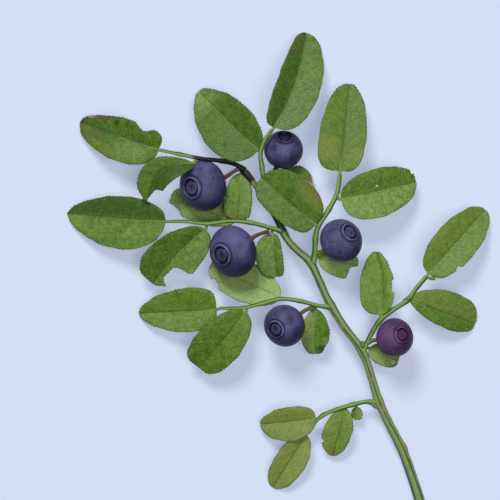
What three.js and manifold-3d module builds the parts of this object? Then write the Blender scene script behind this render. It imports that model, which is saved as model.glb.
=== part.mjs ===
// A bilberry (European blueberry) sprig, cut and laid down on its back:
// a ridged main stem, seven side shoots, twenty-six leaves, six berries on stalks and five buds.
// Millimetres. +X runs across the sprig, +Y from the cut end towards the tip, +Z up.
// Everything is laid out from the middle of the cut end, then moved as a whole so that the origin
// is the middle of the sprig's footprint, on the surface that it lies on.

import * as THREE from 'three';
import { mergeVertices } from 'three/addons/utils/BufferGeometryUtils.js';
import Module from 'manifold-3d';

const wasm = await Module();
wasm.setup();

// Driving dimensions
const stemRadius = { cut: 1.0, tip: 0.62 };     // main stem, from ridge to axis
const stemSides = 8;                            // four ridges and four hollows
const grooveDepth = 0.12;                       // how far a hollow lies inside a ridge, of the radius
const shootSides = 6;
const stalkRadius = { axil: 0.34, berry: 0.52 };
const leafThickness = 0.34;
const biteSteepness = 6;                        // a higher one has a squarer edge; a bite can set its own
const petioleHalfWidth = 0.32;
const tipHalfWidth = 0.12;
const jointGap = 0.12;                          // left between a piece and what it grew from
const berrySegments = 18;
const origin = [-29.16, 48.09, 0];                // middle of the footprint, from the cut end

// Materials
const finish = (color, roughness) => new THREE.MeshStandardMaterial({ color, roughness, metalness: 0 });
const materials = {
  stem: finish('#5f7a3c', 0.6),
  shoot: finish('#5c7f38', 0.6),
  stalk: finish('#7a3a44', 0.6),
  leaf: finish('#4f7a22', 0.55),
  berry: finish('#3a3a66', 0.55),
  ripeningBerry: finish('#4a2f57', 0.55),
  bud: finish('#6f7f45', 0.65),
};

// Routes of the stems, as centre points [x, y, z] from the cut end
const mainStem = [
  [0, 0, 1.0], [-2.1, 6.8, 1.25], [-4.3, 12.8, 1.9], [-7.3, 18.8, 2.6], [-9.1, 22.8, 3.0],
  [-10.3, 26.8, 3.5], [-12.3, 32.4, 4.2], [-16.2, 37.8, 4.9], [-19.2, 42.8, 5.3],
  [-21.0, 46.8, 5.6], [-22.8, 50.4, 5.8], [-25.4, 52.8, 5.9], [-27.2, 54.8, 5.9],
  [-29.6, 59.4, 5.8], [-31.4, 62.4, 5.6], [-34.0, 66.2, 5.4], [-35.8, 68.5, 5.2],
];

const shoots = {
  low_left: {
    radius: [0.46, 0.4],
    route: [[-9.8, 22.2, 3.1], [-11.4, 22.4, 3.5], [-14.3, 21.8, 3.8], [-17.6, 20.8, 3.9],
      [-20.3, 19.6, 3.8], [-21.7, 18.3, 3.6], [-23.2, 16.0, 3.2]],
  },
  low_right: {
    radius: [0.5, 0.5],
    route: [[-12.2, 32.6, 4.3], [-11.3, 34.5, 4.9], [-9.0, 38.4, 5.4], [-6.5, 40.6, 5.7],
      [-3.4, 42.7, 5.8], [-1.3, 45.4, 5.8], [0.6, 47.6, 5.6]],
  },
  mid_left: {
    radius: [0.46, 0.36],
    route: [[-18.5, 41.4, 5.2], [-20.8, 41.6, 5.7], [-24.8, 42.6, 6.3], [-28.6, 43.0, 6.6],
      [-32.4, 42.1, 6.6], [-35.8, 41.3, 6.4], [-41.1, 41.1, 5.9]],
  },
  mid_right: {
    radius: [0.56, 0.48],
    route: [[-22.2, 50.4, 5.9], [-21.9, 52.2, 6.6], [-21.7, 55.0, 7.1], [-21.3, 57.2, 7.3],
      [-19.0, 61.0, 7.4], [-17.4, 64.2, 7.1], [-16.8, 68.1, 6.4]],
  },
  high_left: {
    radius: [0.46, 0.36],
    route: [[-28.2, 56.5, 5.9], [-30.8, 57.3, 6.5], [-34.8, 58.3, 6.9], [-38.8, 58.6, 7.0],
      [-43.6, 58.1, 6.8], [-47.6, 58.5, 6.5], [-51.2, 58.5, 6.1]],
  },
  top: {
    radius: [0.5, 0.42],
    route: [[-31.8, 63.2, 5.7], [-32.0, 66.0, 6.3], [-32.4, 69.4, 7.1], [-32.7, 72.0, 7.6],
      [-31.9, 74.6, 8.0], [-30.3, 77.0, 8.2]],
  },
  tip_left: {
    radius: [0.5, 0.36],
    route: [[-36.0, 68.8, 5.2], [-37.6, 69.9, 6.2], [-40.4, 70.6, 7.7], [-44.2, 71.0, 8.9],
      [-48.8, 71.9, 8.5], [-52.9, 72.8, 7.6]],
  },
};

// Leaves. base is where the blade starts and toward is its heading in degrees from +X.
// left and right are the two halves seen from base to tip: the greatest half-width, then how pointed
// the half is at the base and at the tip (0.2 is blunt, 0.8 is pointed). rise is the tip's height
// above the base, arch the extra height of the middle, bow the midrib's sideways bend, foldLeft and
// foldRight the slopes at which the halves lift from the midrib. A bite is [side, place along the
// length, reach along the length, depth].
const leaves = {
  low_left: [
    { base: [-13.5, 21.3, 3.1], toward: -85, length: 2.6, left: [1.2, 0.4, 0.4], right: [1.1, 0.4, 0.4],
      rise: -0.9 },
    { base: [-15.6, 21.0, 3.3], toward: -105.5, length: 9.9, left: [2.5, 0.55, 0.6],
      right: [3.2, 0.6, 0.5], rise: -2.0, arch: 0.5, foldLeft: 0.35, foldRight: 0.3 },
    { base: [-21.6, 19.0, 3.5], toward: 186, length: 11.2, left: [3.9, 0.5, 0.55],
      right: [2.9, 0.35, 0.5], rise: -1.9, arch: 0.9, foldLeft: 0.2, foldRight: 0.35 },
    { base: [-23.6, 15.7, 3.1], toward: -122, length: 12.5, left: [3.3, 0.5, 0.5],
      right: [2.9, 0.5, 0.45], rise: -2.9, arch: 0.5, foldLeft: 0.25, foldRight: 0.35 },
  ],
  low_right: [
    { base: [-10.9, 33.1, 3.7], toward: -25, length: 6.4, left: [2.1, 0.5, 0.4],
      right: [2.1, 0.4, 0.35], rise: -1.9 },
    { base: [-8.7, 39.9, 5.6], toward: 93.3, length: 12.6, left: [4.7, 0.4, 0.6],
      right: [2.2, 0.3, 0.5], rise: -2.4, arch: 0.8, bow: -0.9, foldLeft: 0.35, foldRight: 0.6,
      bites: [['right', 0.44, 0.1, 0.5]] },
    { base: [-2.8, 42.7, 5.6], toward: -20, length: 14.0, left: [4.5, 0.5, 0.35],
      right: [2.8, 0.7, 0.4], rise: -5.4, arch: 1.1, foldLeft: 0.25, foldRight: 0.2 },
    { base: [0.9, 48.1, 5.5], toward: 48.4, length: 17.2, left: [4.2, 0.42, 0.5],
      right: [4.3, 0.4, 0.45], rise: -5.3, arch: 1.6, foldLeft: 0.4, foldRight: 0.25,
      bites: [['right', 0.28, 0.028, 0.55, 2]] },
  ],
  mid_left: [
    { base: [-21.7, 41.0, 4.9], toward: -90, length: 9.0, left: [2.8, 0.55, 0.4],
      right: [2.8, 0.55, 0.4], rise: -2.4, arch: 0.4, foldLeft: 0.2, foldRight: 0.2 },
    { base: [-28.8, 43.3, 6.1], toward: 155, length: 15.4, left: [4.1, 0.5, 0.45],
      right: [4.0, 0.5, 0.45], rise: -3.0, arch: 0.2, foldLeft: 0.25, foldRight: -0.05,
      bites: [['left', 0.84, 0.06, 0.8]] },
    { base: [-35.6, 40.3, 6.2], toward: -130.3, length: 14.6, left: [4.4, 0.45, 0.35],
      right: [4.6, 0.4, 0.2], rise: -3.0, arch: 1.2, foldLeft: 0.2, foldRight: 0.35 },
    { base: [-41.5, 40.9, 5.7], toward: 183, length: 15.6, left: [4.2, 0.35, 0.6],
      right: [4.6, 0.25, 0.55], rise: -4.8, arch: 0.2, foldLeft: 0.15, foldRight: 0.3 },
  ],
  mid_right: [
    { base: [-21.0, 51.3, 5.2], toward: -12, length: 8.0, left: [2.6, 0.4, 0.4],
      right: [3.1, 0.4, 0.18], rise: -2.0, bites: [['right', 0.99, 0.2, 2.4, 14]] },
    { base: [-21.7, 57.9, 7.9], toward: 139, length: 14.2, left: [4.3, 0.28, 0.25],
      right: [5.4, 0.35, 0.4], rise: -0.2, arch: 0.9, foldLeft: 0.12, foldRight: 0.3 },
    { base: [-16.6, 63.0, 7.0], toward: 13, length: 15.5, left: [4.3, 0.45, 0.38],
      right: [5.3, 0.35, 0.5], rise: -4.2, arch: 1.2, foldLeft: 0.3, foldRight: 0.2 },
    { base: [-16.8, 68.6, 6.3], toward: 83.9, length: 17.6, left: [4.9, 0.2, 0.42],
      right: [4.5, 0.28, 0.45], rise: -4.5, arch: 1.2, foldLeft: 0.2, foldRight: 0.2 },
  ],
  high_left: [
    { base: [-30.4, 56.0, 5.6], toward: -83, length: 8.6, left: [1.6, 0.25, 0.2],
      right: [3.8, 0.35, 0.35], rise: 0.3, arch: 0.5, foldLeft: 0.3, foldRight: 0.1 },
    { base: [-37.8, 58.7, 5.6], toward: 161.5, length: 13.7, left: [2.7, 0.4, 0.35],
      right: [4.2, 0.5, 0.4], rise: -4.2, arch: -1.0, foldLeft: 0.0, foldRight: -0.12,
      bites: [['left', 0.88, 0.1, 0.7]] },
    { base: [-43.7, 56.9, 6.3], toward: -134, length: 15.2, left: [5.1, 0.42, 0.3],
      right: [4.9, 0.5, 0.16], bow: -0.8, rise: -3.4, arch: 0.6, foldLeft: 0.2, foldRight: 0.4,
      bites: [['left', 0.74, 0.16, 3.6], ['left', 0.99, 0.08, 1.7]] },
    { base: [-51.7, 58.5, 5.9], toward: 175.4, length: 19.9, left: [6.2, 0.51, 0.7],
      right: [4.35, 0.48, 0.65], rise: -5.7, arch: 0.2, foldLeft: 0.15, foldRight: 0.15 },
  ],
  top: [
    { base: [-30.9, 66.2, 4.7], toward: 6, length: 9.8, left: [1.5, 0.4, 0.25],
      right: [0.9, 0.5, 0.5], rise: -1.0, arch: -1.1, bow: 1.4, foldLeft: -0.1, foldRight: 0.0 },
    { base: [-33.1, 72.7, 7.2], toward: 135, length: 16.9, left: [6.5, 0.4, 0.6],
      right: [4.4, 0.5, 0.6], rise: -6.0, arch: 1.4, foldLeft: 0.12, foldRight: 0.35 },
    { base: [-30.0, 77.3, 8.2], toward: 71.4, length: 20.2, left: [3.4, 0.35, 0.45],
      right: [5.4, 0.3, 0.4], rise: -8.0, arch: 1.2, bow: -1.0, foldLeft: 0.5, foldRight: 0.15 },
  ],
  tip_left: [
    { base: [-36.6, 68.1, 4.4], toward: -95, length: 9.2, left: [2.7, 0.4, 0.22],
      right: [2.9, 0.45, 0.28], rise: 1.6, arch: 0.6, foldLeft: 0.2, foldRight: 0.1 },
    { base: [-46.0, 70.1, 8.7], toward: -140.6, length: 12.2, left: [3.0, 0.5, 0.4],
      right: [3.4, 0.6, 0.15], bow: -3.0, rise: -2.0, arch: 1.0, foldLeft: 0.6, foldRight: 0.1,
      bites: [['left', 0.87, 0.16, 1.5]] },
    { base: [-53.0, 72.8, 7.5], toward: 160.3, length: 16.9, left: [4.9, 0.42, 0.55],
      right: [3.9, 0.22, 0.5], rise: -7.2, arch: 0.8, foldLeft: 0.1, foldRight: 0.35,
      bites: [['right', 0.25, 0.09, 1.35, 2]] },
  ],
};

// Berries: centre, radius across and half-height along the axis, the way the calyx faces
// (heading and tilt from straight up, degrees) and the stalk's route from the axil
const berries = {
  tip_left: { centre: [-44.2, 65.7, 6.8], radius: 5.2, half: 3.8, heading: 192, tilt: 42,
    stalk: [[-36.5, 69.2, 5.4], [-37.8, 68.7, 5.7], [-39.4, 67.6, 5.3], [-41.3, 66.5, 4.1]] },
  high_left: { centre: [-38.2, 52.5, 9.4], radius: 5.2, half: 3.9, heading: 198, tilt: 42,
    stalk: [[-30.9, 56.5, 6.2], [-32.6, 56.1, 6.1], [-34.2, 55.3, 6.0], [-35.6, 54.0, 6.4]] },
  top: { centre: [-28.1, 72.9, 4.4], radius: 3.95, half: 3.7, heading: 85, tilt: 48,
    stalk: [[-31.6, 67.6, 5.9], [-30.8, 67.9, 4.8], [-30.0, 68.6, 3.8], [-29.2, 69.9, 3.5]] },
  mid_right: { centre: [-16.6, 54.7, 9.5], radius: 4.4, half: 3.8, heading: 43, tilt: 43,
    stalk: [[-21.6, 52.0, 6.6], [-20.6, 52.5, 6.3], [-19.6, 52.9, 6.1], [-18.5, 53.2, 6.6]] },
  mid_left: { centre: [-27.9, 37.7, 8.3], radius: 4.2, half: 3.8, heading: 202, tilt: 33,
    stalk: [[-22.1, 41.3, 5.6], [-23.6, 40.8, 5.2], [-25.0, 39.8, 4.7], [-26.0, 38.7, 4.9]] },
  low_right: { centre: [-5.9, 35.3, 8.2], radius: 3.85, half: 3.4, heading: 21, tilt: 30, ripening: true,
    stalk: [[-11.4, 34.1, 4.9], [-10.2, 34.7, 4.9], [-8.8, 34.8, 4.7], [-7.4, 34.8, 5.1]] },
};

// Buds: the shoot it sits beside, centre, heading in degrees, how steeply it points up, length, girth
const buds = {
  stem_low: { on: 'low_left', at: [-9.9, 21.6, 3.6], toward: 150, lift: 10, length: 1.5, girth: 0.8 },
  stem_middle: { on: 'low_right', at: [-12.3, 34.0, 5.4], toward: 95, lift: 35, length: 1.7, girth: 0.85 },
  right_axil: { on: 'low_right', at: [-3.0, 43.2, 6.3], toward: 20, lift: 15, length: 1.5, girth: 0.7 },
  right_tip: { on: 'low_right', at: [1.7, 47.1, 5.9], toward: -10, lift: 10, length: 1.5, girth: 0.7 },
  mid_right: { on: 'mid_right', at: [-17.4, 63.6, 7.4], toward: 60, lift: 35, length: 1.5, girth: 0.7 },
};

// A closed surface from a list of rings, each the same number of points and counter-clockwise
// when seen from the end towards the start, with a flat cap at both ends.
function skinRings(rings) {
  const count = rings[0].length;
  const position = rings.flat().flatMap((p) => [p.x, p.y, p.z]);
  const index = [];
  for (let i = 0; i + 1 < rings.length; i++) {
    for (let j = 0; j < count; j++) {
      const a = i * count + j;
      const b = i * count + (j + 1) % count;
      index.push(a, b, b + count, a, b + count, a + count);
    }
  }
  const last = (rings.length - 1) * count;
  for (let j = 1; j + 1 < count; j++) {
    index.push(0, j + 1, j);
    index.push(last, last + j, last + j + 1);
  }
  const geometry = new THREE.BufferGeometry();
  geometry.setAttribute('position', new THREE.Float32BufferAttribute(position, 3));
  geometry.setIndex(index);
  return geometry;
}

// A section carried along a smooth curve through the route's points, tapering from radius[0] to
// radius[1]. With ridges, every second corner of the section lies a little inside.
function stemGeometry(route, radius, sides, steps, groove = 0) {
  const curve = new THREE.CatmullRomCurve3(route.map((p) => new THREE.Vector3(...p)), false, 'centripetal');
  const frames = curve.computeFrenetFrames(steps, false);
  const rings = [];
  for (let i = 0; i <= steps; i++) {
    const centre = curve.getPointAt(i / steps);
    const r = THREE.MathUtils.lerp(radius[0], radius[1], i / steps);
    const ring = [];
    for (let j = 0; j < sides; j++) {
      const angle = j * 2 * Math.PI / sides;
      const reach = r * (j % 2 ? 1 - groove : 1);
      ring.push(centre.clone()
        .addScaledVector(frames.normals[i], reach * Math.cos(angle))
        .addScaledVector(frames.binormals[i], reach * Math.sin(angle)));
    }
    rings.push(ring);
  }
  return skinRings(rings);
}

// Half-width of a blade at t, from 0 at the base to 1 at the tip: t^base * (1-t)^tip, scaled to 1
// at its widest place, base/(base+tip), less the bites on that side.
function halfWidth(leaf, side, t) {
  const [most, base, tip] = leaf[side];
  const widest = base / (base + tip);
  let w = most * (t / widest) ** base * ((1 - t) / (1 - widest)) ** tip;
  for (const [biteSide, place, reach, depth, steepness = biteSteepness] of leaf.bites ?? []) {
    if (biteSide === side) w -= depth * Math.exp(-(Math.abs((t - place) / reach) ** steepness));
  }
  return Math.max(w, THREE.MathUtils.lerp(petioleHalfWidth, tipHalfWidth, t));
}

// A thin closed blade. Each station holds three points across the top, from the left edge over the
// midrib to the right edge, and three below them.
function leafGeometry(leaf) {
  const { rise = 0, arch = 0, bow = 0, foldLeft = 0.1, foldRight = 0.1 } = leaf;
  const stations = leaf.bites ? 18 : 12;
  const heading = THREE.MathUtils.degToRad(leaf.toward);
  const along = new THREE.Vector2(Math.cos(heading), Math.sin(heading));
  const across = new THREE.Vector2(-along.y, along.x);
  const rings = [];
  for (let i = 0; i <= stations; i++) {
    const t = leaf.bites ? i / stations : (1 - Math.cos(Math.PI * i / stations)) / 2;
    const hump = 4 * t * (1 - t);
    const top = [1, 0, -1].map((u) => {
      const width = halfWidth(leaf, u > 0 ? 'left' : 'right', t) * Math.abs(u);
      const aside = bow * hump + Math.sign(u) * width;
      const height = rise * t + arch * hump + (u > 0 ? foldLeft : foldRight) * width;
      return new THREE.Vector3(
        leaf.base[0] + along.x * leaf.length * t + across.x * aside,
        leaf.base[1] + along.y * leaf.length * t + across.y * aside,
        leaf.base[2] + height + leafThickness / 2,
      );
    });
    const under = top.map((p) => new THREE.Vector3(p.x, p.y, p.z - leafThickness)).reverse();
    rings.push([...top, ...under]);
  }
  return skinRings(rings);
}

// A berry turned about its own axis: a flattened ball whose top carries the calyx scar, a raised
// ring around a sunken disc with the stub of the style in the middle.
function berryGeometry(berry) {
  const { radius, half } = berry;
  const ringRadius = 0.41 * radius;
  const ringHeight = half * Math.sqrt(1 - 0.45 ** 2);
  const profile = [new THREE.Vector2(0, -half)];
  for (let degrees = -75; degrees < 58; degrees += 15) {
    const angle = THREE.MathUtils.degToRad(degrees);
    profile.push(new THREE.Vector2(radius * Math.cos(angle), half * Math.sin(angle)));
  }
  profile.push(new THREE.Vector2(ringRadius * 1.1, ringHeight));
  profile.push(new THREE.Vector2(ringRadius, ringHeight + 0.3));
  profile.push(new THREE.Vector2(ringRadius * 0.84, ringHeight - 0.15));
  profile.push(new THREE.Vector2(ringRadius * 0.3, ringHeight - 0.05));
  profile.push(new THREE.Vector2(0, ringHeight + 0.2));
  const geometry = new THREE.LatheGeometry(profile, berrySegments);
  geometry.rotateX(Math.PI / 2);
  return geometry;
}

// A pointed bud, longer than wide, along +Z
function budGeometry(bud) {
  const profile = [[0, -0.5], [0.36, -0.38], [0.5, -0.1], [0.4, 0.2], [0.18, 0.42], [0, 0.5]];
  const points = profile.map(([r, z]) => new THREE.Vector2(r * bud.girth, z * bud.length));
  const geometry = new THREE.LatheGeometry(points, 8);
  geometry.rotateX(Math.PI / 2);
  return geometry;
}

// Points +Z of a piece along a heading and a tilt from straight up, both in degrees
function faceToward(object, heading, tilt) {
  const a = THREE.MathUtils.degToRad(heading);
  const b = THREE.MathUtils.degToRad(tilt);
  const axis = new THREE.Vector3(Math.sin(b) * Math.cos(a), Math.sin(b) * Math.sin(a), Math.cos(b));
  object.quaternion.setFromUnitVectors(new THREE.Vector3(0, 0, 1), axis);
}

// Boolean cuts: a piece gives way to what it grew from
function toSolid(geometry, matrix) {
  const copy = geometry.clone();
  copy.deleteAttribute('normal');
  copy.deleteAttribute('uv');
  if (matrix) copy.applyMatrix4(matrix);
  const merged = mergeVertices(copy, 1e-4);
  return new wasm.Manifold(new wasm.Mesh({
    numProp: 3,
    vertProperties: Float32Array.from(merged.attributes.position.array),
    triVerts: Uint32Array.from(merged.index.array),
  }));
}

function cutBack(geometry, cutters) {
  let solid = toSolid(geometry);
  for (const cutter of cutters) solid = solid.subtract(cutter);
  const pieces = solid.decompose().sort((a, b) => b.volume() - a.volume());
  const mesh = pieces[0].getMesh();
  const result = new THREE.BufferGeometry();
  result.setAttribute('position', new THREE.Float32BufferAttribute(mesh.vertProperties, 3));
  result.setIndex(Array.from(mesh.triVerts));
  return result;
}

// Assembly
const sprig = new THREE.Group();
const layout = new THREE.Group();
layout.position.set(-origin[0], -origin[1], -origin[2]);
sprig.add(layout);

function place(name, geometry, material) {
  geometry.computeVertexNormals();
  const mesh = new THREE.Mesh(geometry, material);
  mesh.name = name;
  layout.add(mesh);
  return mesh;
}

const stemRadii = [stemRadius.cut, stemRadius.tip];
const stemSteps = 34;
place('main_stem', stemGeometry(mainStem, stemRadii, stemSides, stemSteps, grooveDepth), materials.stem);
const grown = stemRadii.map((r) => r + jointGap);
const cutters = { main: toSolid(stemGeometry(mainStem, grown, stemSides, stemSteps, grooveDepth)) };

for (const [shootName, shoot] of Object.entries(shoots)) {
  const steps = 16;
  const solid = stemGeometry(shoot.route, shoot.radius, shootSides, steps);
  place(`shoot_${shootName}`, cutBack(solid, [cutters.main]), materials.shoot);
  const wider = shoot.radius.map((r) => r + jointGap);
  cutters[shootName] = toSolid(stemGeometry(shoot.route, wider, shootSides, steps));
}

for (const [name, berry] of Object.entries(berries)) {
  const geometry = berryGeometry(berry);
  const skin = berry.ripening ? materials.ripeningBerry : materials.berry;
  const mesh = place(`berry_${name}`, geometry, skin);
  mesh.position.set(...berry.centre);
  faceToward(mesh, berry.heading, berry.tilt);
  const swell = 1 + 0.3 / berry.radius;
  mesh.updateMatrix();
  const swollen = mesh.matrix.clone().scale(new THREE.Vector3(swell, swell, swell));
  const skinCutter = toSolid(geometry, swollen);
  const stalk = stemGeometry(berry.stalk, [stalkRadius.axil, stalkRadius.berry], shootSides, 8);
  const near = [cutters.main, cutters[name], skinCutter];
  place(`stalk_${name}`, cutBack(stalk, near), materials.stalk);
}

for (const [shootName, blades] of Object.entries(leaves)) {
  blades.forEach((leaf, i) => {
    const blade = cutBack(leafGeometry(leaf), [cutters.main, cutters[shootName]]);
    place(`leaf_${shootName}_${i + 1}`, blade, materials.leaf);
  });
}

for (const [name, bud] of Object.entries(buds)) {
  const pose = new THREE.Object3D();
  pose.position.set(...bud.at);
  faceToward(pose, bud.toward, 90 - bud.lift);
  pose.updateMatrix();
  const geometry = budGeometry(bud).applyMatrix4(pose.matrix);
  place(`bud_${name}`, cutBack(geometry, [cutters.main, cutters[bud.on]]), materials.bud);
}

export default sprig;
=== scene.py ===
import bpy
import numpy as np
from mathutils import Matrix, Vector


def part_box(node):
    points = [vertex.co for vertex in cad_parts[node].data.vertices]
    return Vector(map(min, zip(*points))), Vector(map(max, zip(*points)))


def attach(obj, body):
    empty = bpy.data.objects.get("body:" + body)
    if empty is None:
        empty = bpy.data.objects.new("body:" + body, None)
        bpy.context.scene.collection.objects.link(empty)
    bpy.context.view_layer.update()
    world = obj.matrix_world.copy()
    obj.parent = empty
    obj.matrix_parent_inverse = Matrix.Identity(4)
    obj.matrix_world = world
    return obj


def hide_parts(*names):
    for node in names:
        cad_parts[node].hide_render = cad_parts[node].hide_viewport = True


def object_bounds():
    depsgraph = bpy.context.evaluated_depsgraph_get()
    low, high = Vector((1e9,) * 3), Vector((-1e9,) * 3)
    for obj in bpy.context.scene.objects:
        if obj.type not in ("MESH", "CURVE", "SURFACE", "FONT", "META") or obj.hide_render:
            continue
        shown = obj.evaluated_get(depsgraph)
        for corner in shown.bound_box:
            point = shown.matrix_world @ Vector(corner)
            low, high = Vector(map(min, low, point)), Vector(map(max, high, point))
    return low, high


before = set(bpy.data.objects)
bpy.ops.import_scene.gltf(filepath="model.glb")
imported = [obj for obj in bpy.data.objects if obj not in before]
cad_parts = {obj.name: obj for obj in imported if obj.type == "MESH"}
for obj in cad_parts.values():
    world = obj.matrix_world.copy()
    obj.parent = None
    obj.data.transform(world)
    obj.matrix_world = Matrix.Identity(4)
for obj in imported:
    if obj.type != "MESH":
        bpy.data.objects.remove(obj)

# A bilberry sprig, cut and laid on its back. Each piece stands for the CAD node that it is named after.
mm = 0.001
cadBox = [list(corner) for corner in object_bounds()]
random = np.random.default_rng(11)
print("frame loaded:", len(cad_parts), "nodes")


def placeObject(name, data):
    made = bpy.data.objects.new(name, data)
    bpy.context.scene.collection.objects.link(made)
    return made


# ---- camera, floor and light

view = {
    "aside": -5.64,          # what the camera looks at, from the middle of the sprig's box
    "up": 4.71,
    "height": 6.5,           # the level at which the field is measured
    "field": 100.0,          # width of the field at that level
    "distance": 1500.0,
    "sensor": 36,
}

middle = (Vector(cadBox[0]) + Vector(cadBox[1])) / 2
lookAt = Vector((middle.x + view["aside"] * mm, middle.y + view["up"] * mm, view["height"] * mm))

cameraData = bpy.data.cameras.new("camera")
cameraData.sensor_width = view["sensor"]
cameraData.lens = view["sensor"] * view["distance"] / view["field"]
cameraData.clip_start = 0.01
cameraData.clip_end = 20
camera = placeObject("camera", cameraData)
camera.location = lookAt + Vector((0, 0, view["distance"] * mm))
bpy.context.scene.camera = camera
bpy.context.scene.view_settings.view_transform = "Standard"

lamps = {
    # name: (way it comes from, distance, size, power, colour)
    "key": ((-0.20, 0.68, 0.90), 2.6, 0.90, 64.0, (1.0, 0.985, 0.94)),
    "fill": ((0.25, -0.10, 1.0), 2.2, 1.2, 27.0, (1.0, 0.99, 0.96)),
}
for lampName, (way, distance, size, power, colour) in lamps.items():
    lampData = bpy.data.lights.new(lampName, "AREA")
    lampData.shape = "DISK"
    lampData.size = size
    lampData.energy = power
    lampData.color = colour
    lamp = placeObject(lampName, lampData)
    towards = Vector(way).normalized()
    lamp.location = lookAt + towards * distance
    lamp.rotation_euler = towards.to_track_quat("Z", "Y").to_euler()

world = bpy.data.worlds.new("studio")
world.use_nodes = True
background = world.node_tree.nodes["Background"]
background.inputs["Color"].default_value = (0.80, 0.87, 1.0, 1)
background.inputs["Strength"].default_value = 0.10
bpy.context.scene.world = world


def addNode(tree, kind, inputs=None, **settings):
    made = tree.nodes.new(kind)
    for key, value in settings.items():
        setattr(made, key, value)
    for key, value in (inputs or {}).items():
        if isinstance(value, bpy.types.NodeSocket):
            tree.links.new(value, made.inputs[key])
        else:
            made.inputs[key].default_value = value
    return made


# A material with one Principled shader. constants are set on its own sockets
def newMaterial(name, constants):
    material = bpy.data.materials.new(name)
    material.use_nodes = True
    shader = material.node_tree.nodes["Principled BSDF"]
    for key, value in constants.items():
        shader.inputs[key].default_value = value
    return material, material.node_tree, shader


floorHalf = 3.0              # metres
floorMesh = bpy.data.meshes.new("floor")
floorMesh.from_pydata([(-floorHalf, -floorHalf, 0), (floorHalf, -floorHalf, 0), (floorHalf, floorHalf, 0),
                       (-floorHalf, floorHalf, 0)], [], [(0, 1, 2, 3)])
floorMesh.materials.append(newMaterial("paleFloor", {
    "Base Color": (0.27, 0.30, 0.36, 1), "Roughness": 0.9, "Specular IOR Level": 0.1,
    "Emission Color": (0.66, 0.73, 1.0, 1), "Emission Strength": 0.46})[0])
floor = placeObject("floor", floorMesh)
print("camera, floor and lights placed")


# ---- materials

# Each helper below makes one node after a socket, in that socket's tree, and gives back its output
def mix(share, first, second):
    made = addNode(share.id_data, "ShaderNodeMix", {0: share}, data_type="RGBA")
    for index, value in ((6, first), (7, second)):
        if isinstance(value, bpy.types.NodeSocket):
            share.id_data.links.new(value, made.inputs[index])
        else:
            made.inputs[index].default_value = (*value, 1)
    return made.outputs[2]


def mathNode(operation, first, second=0.0, clamp=False):
    return addNode(first.id_data, "ShaderNodeMath", {0: first, 1: second}, operation=operation,
                   use_clamp=clamp).outputs[0]


def times(first, second):
    return mathNode("MULTIPLY", first, second)


def ramp(value, start, end, low=0.0, high=1.0):
    return addNode(value.id_data, "ShaderNodeMapRange", {
        "Value": value, "From Min": start, "From Max": end, "To Min": low, "To Max": high},
        interpolation_type="SMOOTHSTEP").outputs["Result"]


def noiseOn(place, scale, detail=3.0, roughness=0.5):
    return addNode(place.id_data, "ShaderNodeTexNoise", {
        "Vector": place, "Scale": scale, "Detail": detail, "Roughness": roughness}).outputs["Fac"]


def attribute(tree, name):
    return addNode(tree, "ShaderNodeAttribute", attribute_name=name).outputs["Fac"]


def objectPlace(tree):
    return addNode(tree, "ShaderNodeTexCoord").outputs["Object"]


# Gives a shader its colour, its roughness and its fine relief, in metres deep
def dress(shader, colour, roughness, height, depth):
    tree = shader.id_data
    bump = addNode(tree, "ShaderNodeBump", {"Height": height, "Distance": depth}).outputs["Normal"]
    for name, value in (("Base Color", colour), ("Roughness", roughness), ("Normal", bump)):
        tree.links.new(value, shader.inputs[name])


leafColours = {
    # painted shade: the colour of halves turned from the light, of creases and of a neighbour's shadow
    "shade": (0.026, 0.066, 0.004),
    "deep": (0.040, 0.104, 0.005),
    "fresh": (0.104, 0.204, 0.017),
    "olive": (0.125, 0.155, 0.014),
    "yellow": (0.225, 0.240, 0.050),
    # painted sheen, painted light on halves in a berry's shadow, and pale spots
    "paintedSheenAndPale": (0.240, 0.338, 0.112),
    "rib": (0.200, 0.260, 0.080),
    "underside": (0.175, 0.260, 0.105),
    "brown": (0.120, 0.062, 0.028),
    "dark": (0.010, 0.010, 0.006),
    "dry": (0.560, 0.470, 0.400),
}
leafGrain = {"broad": 190, "mottle": 820, "fine": 2300, "net": 1900, "speck": 1150}      # spots to a metre
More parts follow.
